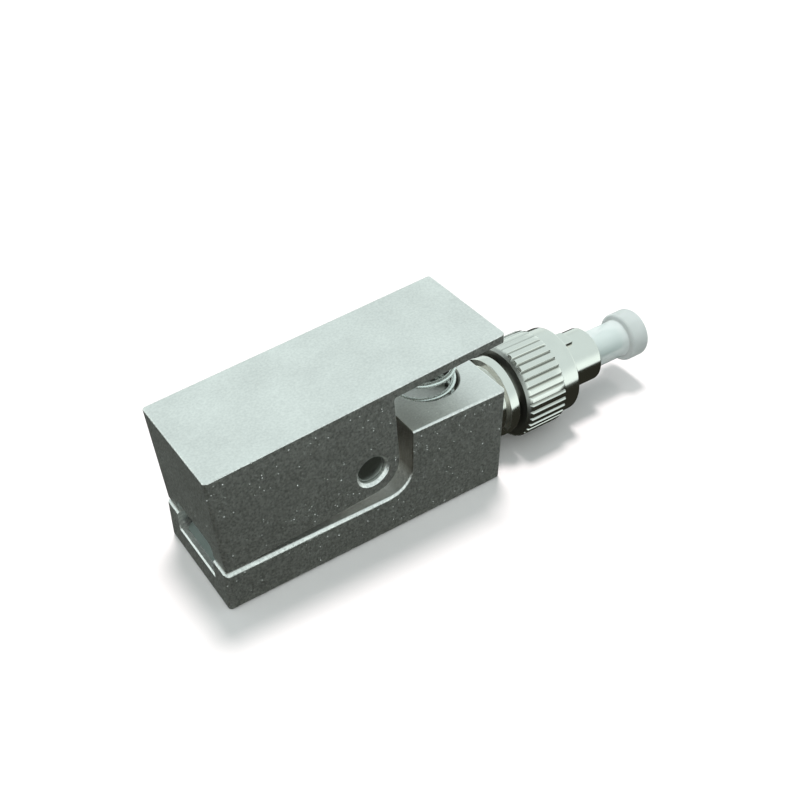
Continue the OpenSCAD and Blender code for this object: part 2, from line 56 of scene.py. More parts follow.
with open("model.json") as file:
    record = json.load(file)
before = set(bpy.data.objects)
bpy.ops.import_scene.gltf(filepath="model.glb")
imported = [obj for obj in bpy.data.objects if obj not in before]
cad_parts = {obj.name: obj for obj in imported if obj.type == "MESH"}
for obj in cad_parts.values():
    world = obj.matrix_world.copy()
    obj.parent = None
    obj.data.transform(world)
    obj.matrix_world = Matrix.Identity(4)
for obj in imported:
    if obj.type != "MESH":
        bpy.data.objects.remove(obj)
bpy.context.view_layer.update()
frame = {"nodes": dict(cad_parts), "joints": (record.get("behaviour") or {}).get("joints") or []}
MM = 0.001

PIVOT = Vector(next(j["pos_m"] for j in frame["joints"] if j["name"] == "lever_press"))
BASE_LO, BASE_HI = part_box("base")
NUT_LO, NUT_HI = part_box("coupling_nut")
BARREL_LO, BARREL_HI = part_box("barrel")
BODY_LO, BODY_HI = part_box("connector_body")
CAP_LO, CAP_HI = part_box("dust_cap")
FERRULE_LO, FERRULE_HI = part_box("ferrule")
PIN_LO, PIN_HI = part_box("pivot_pin")
SPRING_LO, SPRING_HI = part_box("lever_spring")
AXIS_Z = (NUT_LO.z + NUT_HI.z) / 2


def size(name, text, value, high=0.05):
    """A length in metres."""
    return FloatProperty(name=name, description=text, default=value, min=0, max=high,
                         unit="LENGTH", subtype="DISTANCE", precision=5)


def share(name, text, value):
    """A number from 0 to 1."""
    return FloatProperty(name=name, description=text, default=value, min=0, max=1, subtype="FACTOR")


def tint(name, text, value):
    """A linear colour."""
    return FloatVectorProperty(name=name, description=text, default=value, min=0, max=1,
                               size=3, subtype="COLOR")


class AdapterClampSizes(PropertyGroup):
    """Sizes of the base and the lever."""

    edge: size("Edge rounding", "Rounding along the outer edges of the block", 0.25 * MM)
    upright: size("Upright rounding", "Rounding of the upright corners", 0.45 * MM)
    rail_edge: size("Rail bevel", "Bevel along the outer edges of the rails", 0.38 * MM)
    rail_h: size("Rail height", "Height of the rails beside the channel", 4.57 * MM)
    block_l: size("Block length", "Length of the tall block that holds the plug", 11 * MM)
    block_h: size("Block height", "Height of the tall block", 11.5 * MM)
    hollow_r: size("Hollow corner", "Radius between the rails and the block", 2.43 * MM)
    channel_w: size("Channel width", "Width of the fibre channel and of the lever's recess", 7.2 * MM)
    channel_z: size("Channel floor", "Height of the channel's floor", 2.55 * MM)
    knuckle_r: size("Knuckle radius", "Radius of the lever's front corner about the pivot", 2.95 * MM)
    lever_rear: size("Lever length behind", "Length of the lever behind the pivot", 15.7 * MM)
    lever_front: size("Lever length ahead", "Length of the lever ahead of the pivot", 15.4 * MM)
    lever_rise: size("Lever height", "Height of the lever's top above the pivot", 8.4 * MM)
    plate_t: size("Plate thickness", "Thickness of the press plate", 1.2 * MM)
    recess_d: size("Recess depth", "Depth of the recess under the lever", 1.75 * MM)
    lug_w: size("Lug width", "Width of the pivot lug between the cheeks", 5.8 * MM)
    rest_tilt: FloatProperty(name="Rest tilt", description="Tilt of the lever at rest",
                             default=math.radians(4.381), subtype="ANGLE", unit="ROTATION")


class AdapterPlugSizes(PropertyGroup):
    """Sizes of the plug, the spring and the cap."""

    grooves: IntProperty(name="Knurl grooves", description="Number of grooves around the nut",
                         default=36, min=12, max=60)
    groove_depth: size("Groove depth", "Depth of the knurl grooves", 0.27 * MM)
    groove_w: size("Groove width", "Width of the knurl grooves at the surface", 0.36 * MM)
    knurl_l: size("Knurl length", "Length of the knurled part", 4.87 * MM)
    ring_d: size("Ring diameter", "Diameter of the plain ring in front of the knurl", 9.4 * MM)
    nut_bevel: size("Nut bevel", "Bevel at the rear of the knurl", 0.45 * MM)
    nut_bore: size("Nut bore", "Diameter of the nut's bore over its thread crests", 7.24 * MM)
    thread_pitch: size("Thread pitch", "Pitch of the nut's inner thread", 0.75 * MM)
    neck_d: size("Neck diameter", "Diameter of the neck in front of the block", 7 * MM)
    neck_l: size("Neck length", "Length of the neck", 2.55 * MM)
    collar_t: size("Collar thickness", "Thickness of the collar behind the nut", 1.15 * MM)
    stem_d: size("Stem diameter", "Diameter of the stem that the nut turns on", 5.36 * MM)
    barrel_d: size("Barrel diameter", "Diameter of the plug barrel", 6 * MM)
    barrel_bore: size("Barrel bore", "Diameter of the barrel's bores", 4.7 * MM)
    bore_depth: size("Bore depth", "Depth of the barrel's front bore", 2.9 * MM)
    key_w: size("Key width", "Width of the key on the barrel", 2 * MM)
    key_out: size("Key length", "Length of the key in front of the nut", 1.95 * MM)
    cap_end_l: size("Cap end length", "Length of the cap's thick end", 2.3 * MM)
    cap_tube_d: size("Cap tube diameter", "Diameter of the cap's tube", 4.16 * MM)
    spring_wire: size("Spring wire", "Wire diameter of the lever's spring", 0.5 * MM)
    spring_turns: FloatProperty(name="Spring turns", description="Number of turns of the spring",
                                default=5.5, min=3, max=10)


class AdapterFinish(PropertyGroup):
    """Colours and surface of each finish."""

    blasted: tint("Blasted aluminium", "Colour of the bead-blasted base and lever", (0.81, 0.79, 0.765))
    blasted_rough: share("Blasted roughness", "Roughness of the bead-blasted metal", 0.42)
    grain: share("Bead grain", "Tilt of the small dents that the beads leave", 0.5)
    sparkle: share("Bead sparkle", "Tilt of the few dents that catch the light", 1.0)
    # Painted shade: a dark colour for the shaded hollow behind the lever, partly the real finish left by milling.
    milled_and_shade: tint("Milled face", "Colour of the milled face behind the lever", (0.25, 0.225, 0.195))
    nickel: tint("Nickel", "Colour of the polished plug", (0.76, 0.745, 0.70))
    nickel_rough: share("Nickel roughness", "Roughness of the polished plug", 0.14)
    # How dark the bottom of the knurl grooves is made.
    darkening: share("Groove grime", "Brightness that is left at the bottom of the knurl grooves", 0.5)
    steel: tint("Steel", "Colour of the pin and the screws", (0.34, 0.36, 0.34))
    # Painted shade: the groove block's steel is darkened to stand in for the shade inside the channel's mouth.
    slate_and_shade: tint("Groove block", "Colour of the dark steel groove block", (0.12, 0.135, 0.126))
    wire: tint("Spring wire", "Colour of the springs", (0.74, 0.77, 0.74))
    cap: tint("Cap", "Colour of the translucent cap", (0.64, 0.68, 0.665))
    ceramic: tint("Ceramic", "Colour of the ferrule", (0.92, 0.92, 0.90))
    rubber: tint("Rubber", "Colour of the clamp's pad", (0.03, 0.03, 0.032))
    slip: tint("Slip ring", "Colour of the ring inside the nut", (0.78, 0.78, 0.74))


class AdapterStage(PropertyGroup):
    """Floor, light and camera."""

    floor: tint("Floor", "Colour of the floor", (0.765, 0.69, 0.69))
    sky: tint("Sky", "Colour of the soft light from above", (0.61, 0.715, 0.71))
    horizon: tint("Horizon", "Colour of the bright band around the object", (0.87, 1.0, 0.975))
    dark: tint("Dark side", "Colour that the sides reflect from below", (0.0208, 0.0212, 0.016))
    back: FloatProperty(name="Back light", description="Change of the light's strength low behind the object",
                        default=-0.3, min=-1, max=10)
    sun: FloatProperty(name="Key light", description="Strength of the key light", default=2.6,
                       min=0, max=10)
    softness: FloatProperty(name="Key softness", description="Angle of the key light",
                            default=math.radians(12), subtype="ANGLE", unit="ROTATION")
    lens: FloatProperty(name="Focal length", description="Focal length of the camera",
                        default=48.0, min=10, max=200, unit="CAMERA")


def sizes(context):
    return context.scene.adapter_clamp


def plug_sizes(context):
    return context.scene.adapter_plug


class Value:
    """One output socket of a material. Arithmetic on it adds Math nodes."""

    def __init__(self, tree, socket):
        self.tree = tree
        self.socket = socket

    def math(self, operation, *others):
        return self.tree.node("ShaderNodeMath", {"operation": operation},
                              dict(enumerate((self, *others))))

    def __add__(self, other):
        return self.math("ADD", other)

    __radd__ = __add__

    def __sub__(self, other):
        return self.math("SUBTRACT", other)

    def __rsub__(self, other):
        return self.tree.node("ShaderNodeMath", {"operation": "SUBTRACT"}, {0: other, 1: self})

    def __mul__(self, other):
        return self.math("MULTIPLY", other)

    __rmul__ = __mul__


class Tree:
    """The nodes of one material or world."""

    def __init__(self, owner):
        owner.use_nodes = True
        self.tree = owner.node_tree
        self.tree.nodes.clear()

    def node(self, kind, settings=None, inputs=None, out=0):
        """Adds a node, sets it up, then feeds its inputs with values or with other outputs."""
        new = self.tree.nodes.new(kind)
        for name, value in (settings or {}).items():
            if name == "stops":
                ramp = new.color_ramp
                for spot, shade in value[2:]:
                    ramp.elements.new(spot)
                for element, (spot, shade) in zip(ramp.elements, value):
                    element.position = spot
                    element.color = (*shade, 1)
            else:
                setattr(new, name, value)
        for key, value in (inputs or {}).items():
            if isinstance(value, Value):
                self.tree.links.new(value.socket, new.inputs[key])
            else:
                new.inputs[key].default_value = value
        return Value(self, new.outputs[out]) if new.outputs else new

    def place(self):
        """Place on the object, in metres."""
        return self.node("ShaderNodeTexCoord", out="Object")

    def part(self, vector, axis):
        """One number of a vector or colour."""
        return self.node("ShaderNodeSeparateXYZ", inputs={0: vector}, out=axis)

    def noise(self, place, scale, detail=2.0, out="Fac"):
        return self.node("ShaderNodeTexNoise", inputs={"Vector": place, "Scale": scale, "Detail": detail}, out=out)

    def stretched(self, place, scale):
        return self.node("ShaderNodeVectorMath", {"operation": "MULTIPLY"}, {0: place, 1: scale})

    def step(self, value, low, high):
        """0 below low, 1 above high, smooth between."""
        return self.node("ShaderNodeMapRange", {"interpolation_type": "SMOOTHSTEP"},
                         {"Value": value, "From Min": low, "From Max": high})

    def mix(self, factor, a, b):
        """Colour between a and b."""
        return self.node("ShaderNodeMix", {"data_type": "RGBA"},
                         {0: factor, 6: paint(a), 7: paint(b)}, out=2)

    def bump(self, height, depth, strength=1.0):
        return self.node("ShaderNodeBump", inputs={"Height": height, "Distance": depth, "Strength": strength})

    def pushed(self, colour, tilt):
        """A sideways push of the normal from a noise's colour."""
        centred = self.node("ShaderNodeVectorMath", {"operation": "SUBTRACT"}, {0: colour, 1: (0.5, 0.5, 0.5)})
        return self.node("ShaderNodeVectorMath", {"operation": "SCALE"}, {0: centred, "Scale": tilt})

    def dented(self, *pushes):
        """The surface's normal after the pushes."""
        total = self.node("ShaderNodeNewGeometry", out="Normal")
        for push in pushes:
            total = self.node("ShaderNodeVectorMath", {"operation": "ADD"}, {0: total, 1: push})
        return self.node("ShaderNodeVectorMath", {"operation": "NORMALIZE"}, {0: total})

    def surface(self, **inputs):
        """Ends the material in one Principled shader."""
        names = {name.replace("_", " ").title(): value for name, value in inputs.items()}
        if "Ior" in names:
            names["IOR"] = names.pop("Ior")
        shader = self.node("ShaderNodeBsdfPrincipled", inputs={
            name: paint(value) if name == "Base Color" else value for name, value in names.items()})
        self.node("ShaderNodeOutputMaterial", inputs={"Surface": shader})


def paint(value):
    """A colour with its alpha, or a link as it is."""
    return value if isinstance(value, Value) else (*value, 1)


def shade(colour, factor):
    return tuple(min(1.0, c * factor) for c in colour)


def material(name, slot_name=None):
    new = bpy.data.materials.new(name)
    return new, Tree(new)


def blasted_aluminium(finish, milled_shade_z=None):
    """Bead-blasted metal, rubbed smoother where it looks up, with painted light where it looks down: lighter there
    to brighten the reflections between the press plate and the block. Above the given height, a face that looks
    backwards gets painted shade: a darker colour, partly the real finish left by milling."""
    new, t = material("blasted_aluminium" if milled_shade_z is None else "blasted_milled_and_shaded")
    place = t.place()
    normal = t.node("ShaderNodeNewGeometry", out="Normal")
    rough_face = 1 - 0.7 * t.step(t.part(normal, "Z"), 0.6, 0.9)
    cloud = t.noise(place, 240, 3)
    mottle = t.noise(place, 4600, 2)
    dent = t.noise(place, 8200, 1, "Color")
    cells = {"Vector": place, "Scale": 3400}
    near = t.node("ShaderNodeTexVoronoi", inputs=cells)
    pick = t.node("ShaderNodeTexVoronoi", inputs=cells, out="Color")
    spark = t.step(t.part(pick, "X"), 0.56, 0.6) * (1 - t.step(near, 0.15, 0.26)) * rough_face
    lean = t.mix(spark, (0.5, 0.5, 0.5), pick)
    patchy = 0.5 + (mottle - 0.5) * 2.4 * rough_face + (cloud - 0.5) * 0.5
    colour = t.mix(patchy, shade(finish.blasted, 0.76), shade(finish.blasted, 1.24))
    # Painted light: faces that look down get a lighter colour, to brighten the reflections between the press plate and
    # the block.
    under = t.step(-1 * t.part(normal, "Z"), 0.7, 0.95)
    colour = t.mix(under * 0.9, colour, shade(finish.blasted, 1.2))
    # Painted shade: above the given height, faces that look backwards (the hollow behind the lever) get a dark colour
    # for the shade there, with streaks from milling as the real finish.
    if milled_shade_z is not None:
        milled_and_shade = t.step(-1 * t.part(normal, "X"), 0.3, 0.9) * t.step(t.part(place, "Z"), milled_shade_z, milled_shade_z + 2.2 * MM)
        streaks = t.noise(t.stretched(place, (1, 9000, 500)), 1, 2)
        colour = t.mix(milled_and_shade * (1.1 - streaks * 0.3), colour, finish.milled_and_shade)
    t.surface(
        base_color=colour,
        metallic=1.0,
        roughness=finish.blasted_rough - 0.05 + mottle * 0.1,
        normal=t.dented(t.pushed(dent, rough_face * finish.grain), t.pushed(lean, finish.sparkle)),
    )
    return new


def polished_nickel(finish):
    new, t = material("polished_nickel")
    place = t.place()
    turned = t.noise(t.stretched(place, (14000, 160, 160)), 1, 2)
    smear = t.noise(place, 700, 3)
    t.surface(
        base_color=t.mix(smear, shade(finish.nickel, 0.95), shade(finish.nickel, 1.04)),
        metallic=1.0,
        roughness=finish.nickel_rough + smear * 0.08 - 0.04,
        normal=t.bump(turned, 0.002 * MM, 0.6),
    )
    return new


def knurled_nickel(finish, sizes):
    """Nickel of the nut, darker and rougher towards the bottom of its grooves."""
    new, t = material("knurled_nickel")
    place = t.place()
    across = t.stretched(place, (0, 1, 1))
    out = t.node("ShaderNodeVectorMath", {"operation": "DISTANCE"}, {0: across, 1: (0, 0, AXIS_Z)}, out="Value")
    top = (NUT_HI.y - NUT_LO.y) / 2
    on_ring = t.step(t.part(place, "X"), NUT_LO.x + sizes.knurl_l - 0.03 * MM,
                     NUT_LO.x + sizes.knurl_l)
    # 0 at the bottom of the knurl grooves, 1 on the lands and the plain ring; the bottom gets a darker, rougher colour.
    off_groove_floor = t.step(out + on_ring * MM, top - sizes.groove_depth, top - sizes.groove_depth * 0.15)
    smear = t.noise(place, 700, 3)
    turned = t.noise(t.stretched(place, (14000, 160, 160)), 1, 2)
    metal = t.mix(smear, shade(finish.nickel, 0.95), shade(finish.nickel, 1.04))
    t.surface(
        base_color=t.mix(off_groove_floor, shade(finish.nickel, finish.darkening), metal),
        metallic=1.0,
        roughness=finish.nickel_rough + smear * 0.08 - 0.04 + (1 - off_groove_floor) * 0.2,
        normal=t.bump(turned, 0.002 * MM, 0.6),
    )
    return new


def ground_steel(finish):
    new, t = material("ground_steel")
    place = t.place()
    lines = t.noise(t.stretched(place, (900, 900, 22000)), 1, 2)
    t.surface(
        base_color=t.mix(t.noise(place, 900, 3), shade(finish.steel, 0.85), shade(finish.steel, 1.1)),
        metallic=1.0,
        roughness=0.24 + lines * 0.16,
        normal=t.bump(lines, 0.004 * MM),
    )
    return new


# Steel of the groove block, darkened with painted shade that stands in for the shade inside the channel's mouth.
def dark_steel_and_shade(finish):
    new, t = material("dark_steel_and_shade")
    place = t.place()
    lines = t.noise(t.stretched(place, (700, 12000, 700)), 1, 2)
    t.surface(
        base_color=t.mix(t.noise(place, 800, 3), shade(finish.slate_and_shade, 0.85), shade(finish.slate_and_shade, 1.15)),
        metallic=1.0,
        roughness=0.3 + lines * 0.12,
        normal=t.bump(lines, 0.003 * MM),
    )
    return new


def drawn_wire(finish):
    new, t = material("drawn_wire")
    place = t.place()
    marks = t.noise(place, 5200, 2)
    t.surface(
        base_color=t.mix(marks, shade(finish.wire, 0.86), shade(finish.wire, 1.1)),
        metallic=1.0,
        roughness=0.2 + marks * 0.14,
        normal=t.bump(marks, 0.003 * MM),
    )
    return new


def moulded_cap(finish):
    new, t = material("moulded_cap")
    place = t.place()
    haze = t.noise(place, 900, 2)
    thick = t.step(t.part(place, "X"), CAP_HI.x - 2.5 * MM, CAP_HI.x - 2.2 * MM)
    t.surface(
        base_color=t.mix(haze * 0.1 + thick * 0.9, finish.cap, shade(finish.cap, 0.76)),
        roughness=0.34 + haze * 0.06,
        alpha=0.6 + haze * 0.04,
        ior=1.4,
        subsurface_weight=0.8,
        subsurface_radius=(1.0, 1.0, 1.0),
        subsurface_scale=0.8 * MM,
        normal=t.bump(haze, 0.002 * MM, 0.5),
    )
    return new


def polished_ceramic(finish):
    new, t = material("polished_ceramic")
    haze = t.noise(t.place(), 1500, 2)
    t.surface(
        base_color=t.mix(haze, shade(finish.ceramic, 0.97), finish.ceramic),
        roughness=0.16 + haze * 0.06,
        subsurface_weight=0.2,
        subsurface_radius=(1.0, 1.0, 1.0),
        subsurface_scale=0.3 * MM,
    )
    return new


def pad_rubber(finish):
    new, t = material("pad_rubber")
    grit = t.noise(t.place(), 6000, 2)
    t.surface(
        base_color=t.mix(grit, shade(finish.rubber, 0.8), shade(finish.rubber, 1.6)),
        roughness=0.7 + grit * 0.2,
        normal=t.bump(grit, 0.01 * MM),
    )
    return new


def slip_plastic(finish):
    new, t = material("slip_plastic")
    haze = t.noise(t.place(), 1800, 2)
    t.surface(
        base_color=t.mix(haze, shade(finish.slip, 0.92), finish.slip),
        roughness=0.4 + haze * 0.12,
        normal=t.bump(haze, 0.004 * MM),
    )
    return new


FINISHES = {
    "anodised": blasted_aluminium,
    "nickel": polished_nickel,
    "steel": ground_steel,
    "dark": dark_steel_and_shade,
    "spring_steel": drawn_wire,
    "pad_rubber": pad_rubber,
    "ceramic_white": polished_ceramic,
    "slip_plastic": slip_plastic,
    "cap_plastic": moulded_cap,
}
made = {}


def finish_of(context, slot):
    """The material of one of the record's slots, made once."""
    if slot not in made:
        made[slot] = FINISHES[slot](context.scene.adapter_finish)
    return made[slot]


def soften(points, rounds, steps=4, arcs=None):
    """Closed outline with its corners rounded, each by its own radius, in steps or in its count of arcs."""
    out = []
    for i, (point, radius) in enumerate(zip(points, rounds)):
        here = Vector(point)
        before = Vector(points[i - 1]) - here
        after = Vector(points[(i + 1) % len(points)]) - here
        if radius <= 0:
            out.append(here)
            continue
        half = before.angle(after) / 2
        if math.pi / 2 - half < 0.02:
            out.append(here)
            continue
        reach = min(radius / math.tan(half), before.length * 0.49, after.length * 0.49)
        centre = here + (before.normalized() + after.normalized()).normalized() * (reach / math.cos(half))
        start = here + before.normalized() * reach - centre
        end = here + after.normalized() * reach - centre
        turn = math.atan2(start.cross(end), start.dot(end))
        count = arcs[i] if arcs else max(steps, round(radius / (0.14 * MM)))
        for k in range(count + 1):
            c, s = math.cos(turn * k / count), math.sin(turn * k / count)
            out.append(centre + Vector((c * start.x - s * start.y, s * start.x + c * start.y)))
    return out


def piece(name, bm, slot, context, smooth_angle=32):
    """Turns a mesh into a named object with its finish and shading."""
    bmesh.ops.recalc_face_normals(bm, faces=bm.faces)
    mesh = bpy.data.meshes.new(name)
    bm.to_mesh(mesh)
    bm.free()
    mesh.polygons.foreach_set("use_smooth", [True] * len(mesh.polygons))
    mesh.set_sharp_from_angle(angle=math.radians(smooth_angle))
    obj = bpy.data.objects.new(name, mesh)
    context.scene.collection.objects.link(obj)
    if slot:
        mesh.materials.append(finish_of(context, slot))
    return obj


def bake_modifiers(obj):
    """Applies an object's modifiers to its mesh."""
    graph = bpy.context.evaluated_depsgraph_get()
    mesh = bpy.data.meshes.new_from_object(obj.evaluated_get(graph))
    obj.modifiers.clear()
    obj.data = mesh


def lathe(bm, outline, segments=128):
    """Solid turned about the plug's axis from a closed outline of (x, radius)."""
    rings = []
    for x, r in outline:
        if r < 1e-7:
            rings.append([bm.verts.new((x, 0, AXIS_Z))])
            continue
        rings.append([bm.verts.new((x, r * math.cos(a), AXIS_Z + r * math.sin(a)))
                      for a in (2 * math.pi * i / segments for i in range(segments))])
    for here, there in zip(rings, rings[1:] + rings[:1]):
        if len(here) == 1 and len(there) == 1:
            continue
        for i in range(segments):
            j = (i + 1) % segments
            quad = [here[i % len(here)], here[j % len(here)], there[j % len(there)], there[i % len(there)]]
            corners = list(dict.fromkeys(quad))
            bm.faces.new(corners)


def shrunk(corners, rounds, eases, part):
    """Corners and radii of an outline whose edges have moved inwards, each by a part of its own ease."""
    n = len(corners)
    area = sum(Vector(corners[i - 1]).cross(Vector(corners[i])) for i in range(n))
    sign = 1 if area > 0 else -1
    lines = []
    for i in range(n):
        a, b = Vector(corners[i]), Vector(corners[(i + 1) % n])
        along = (b - a).normalized()
        inward = Vector((-along.y, along.x)) * sign
        lines.append((a + inward * eases[i] * part, along))
    moved, radii = [], []
    for i in range(n):
        (a, u), (b, v) = lines[i - 1], lines[i]
        moved.append(a + u * ((b - a).cross(v) / u.cross(v)))
        ease = (eases[i - 1] + eases[i]) / 2 * part
        convex = u.cross(v) * sign > 0
        radii.append(max(rounds[i] - ease, 0.02 * MM) if convex else rounds[i] + ease)
    return moved, radii


def slab(bm, corners, rounds, eases, half_w, steps=5, flat=0.0):
    """Solid between y = -half_w and half_w from (x, z) corners. Each corner has its own rounding, and the
    side edges are eased inwards, each stretch of the outline by its own amount."""
    arcs = [max(4, round(r / (0.14 * MM))) for r in rounds]
    sides = []
    for k in range(steps + 1):
        angle = math.pi / 2 * k / steps
        into = (1 - flat) * (1 - math.sin(angle)) + flat * (1 - k / steps)
        down = (1 - flat) * (1 - math.cos(angle)) + flat * k / steps
        outline = soften(*shrunk(corners, rounds, eases, into), arcs=arcs)
        drops = [eases[i] * 0.5 + eases[i - 1] * 0.5 for i in range(len(corners)) for _ in range(arcs[i] + 1)]
        sides.append([(p, half_w - drop * down) for p, drop in zip(outline, drops)])
    levels = [[bm.verts.new((p.x, y, p.y)) for p, y in side] for side in sides]
    levels += [[bm.verts.new((p.x, -y, p.y)) for p, y in side] for side in reversed(sides)]
    for here, there in zip(levels, levels[1:]):
        for i in range(len(here)):
            j = (i + 1) % len(here)
            bm.faces.new((here[i], here[j], there[j], there[i]))
    caps = [bm.faces.new(levels[0]), bm.faces.new(levels[-1])]
    bm.normal_update()
    bmesh.ops.triangulate(bm, faces=caps)


def cutter(name, build):
    """A helper solid for a cut."""
    bm = bmesh.new()
    build(bm)
    bmesh.ops.recalc_face_normals(bm, faces=bm.faces)
    mesh = bpy.data.meshes.new(name)
    bm.to_mesh(mesh)
    bm.free()
    obj = bpy.data.objects.new(name, mesh)
    bpy.context.scene.collection.objects.link(obj)
    return obj


def spindle(bm, start, along, stations, segments=96):
    """Round cutter along an axis from its (distance, radius) stations."""
    side = along.orthogonal().normalized()
    other = along.cross(side)
    rings = [[bm.verts.new(start + along * d + (side * math.cos(a) + other * math.sin(a)) * r)
              for a in (2 * math.pi * i / segments for i in range(segments))] for d, r in stations]
    for here, there in zip(rings, rings[1:]):
        for i in range(segments):
            j = (i + 1) % segments
            bm.faces.new((here[i], here[j], there[j], there[i]))
    bm.faces.new(rings[0])
    bm.faces.new(rings[-1])


def prism(bm, outline, lo, hi, place):
    """Straight cutter between lo and hi, with place giving the corner of an outline's point."""
    ends = [[bm.verts.new(place(p, at)) for p in outline] for at in (lo, hi)]
    for i in range(len(outline)):
        j = (i + 1) % len(outline)
        bm.faces.new((ends[0][i], ends[0][j], ends[1][j], ends[1][i]))
    bm.faces.new(ends[0])
    bm.faces.new(ends[1])


def side_on(p, at):
    return (p[0], at, p[1])


def end_on(p, at):
    return (at, p[0], p[1])


def rectangle(x0, z0, x1, z1):
    return [Vector(p) for p in ((x0, z0), (x1, z0), (x1, z1), (x0, z1))]


def carve(obj, builders, operation="DIFFERENCE", tilt=None):
    """Cuts or adds helper solids, one after the other. The cuts are worked out in millimetres."""
    obj.data.transform(Matrix.Scale(1 / MM, 4))
    for build in builders:
        helper = cutter("cutter", build)
        if tilt:
            helper.data.transform(tilt)
        helper.data.transform(Matrix.Scale(1 / MM, 4))
        modifier = obj.modifiers.new("cut", "BOOLEAN")
        modifier.operation = operation
        modifier.solver = "EXACT"
        modifier.object = helper
        bpy.context.view_layer.update()
        bake_modifiers(obj)
        bpy.data.objects.remove(helper)
    bm = bmesh.new()
    bm.from_mesh(obj.data)
    bmesh.ops.remove_doubles(bm, verts=bm.verts, dist=0.001)
    bmesh.ops.dissolve_degenerate(bm, edges=bm.edges, dist=0.001)
    bmesh.ops.triangulate(bm, faces=[f for f in bm.faces if len(f.verts) > 4])
    bm.to_mesh(obj.data)
    bm.free()
    obj.data.transform(Matrix.Scale(MM, 4))


def reshade(obj, angle=32):
    """Shades the mesh so that its flat faces stay flat and the eased edges between them run smooth."""
    mesh = obj.data
    mesh.polygons.foreach_set("use_smooth", [True] * len(mesh.polygons))
    bm = bmesh.new()
    bm.from_mesh(mesh)
    bm.faces.index_update()
    flat = {}
    for face in bm.faces:
        if face in flat:
            continue
        group, queue = [], [face]
        flat[face] = group
        while queue:
            here = queue.pop()
            group.append(here)
            for edge in here.edges:
                for other in edge.link_faces:
                    if other not in flat and other.normal.angle(face.normal, 0) < math.radians(0.6):
                        flat[other] = group
                        queue.append(other)
    area = {id(group): sum(f.calc_area() for f in group) for group in flat.values()}
    limit = math.radians(angle)
    normals = [None] * len(mesh.loops)
    for vert in bm.verts:
        left = set(vert.link_faces)
        while left:
            queue = [left.pop()]
            fan = []
            while queue:
                here = queue.pop()
                fan.append(here)
                for edge in vert.link_edges:
                    if here in edge.link_faces and edge.calc_face_angle(math.pi) < limit:
                        for other in edge.link_faces:
                            if other in left:
                                left.remove(other)
                                queue.append(other)
            total = Vector((0, 0, 0))
            for group in {id(flat[f]): f for f in fan}.values():
                total += group.normal * area[id(flat[group])]
            for face in fan:
                for loop in face.loops:
                    if loop.vert == vert:
                        normals[loop.index] = total.normalized()
    bm.free()
    mesh.normals_split_custom_set(normals)


def tilt_at_pivot(s):
    return Matrix.Translation(PIVOT) @ Matrix.Rotation(-s.rest_tilt, 4, "Y")


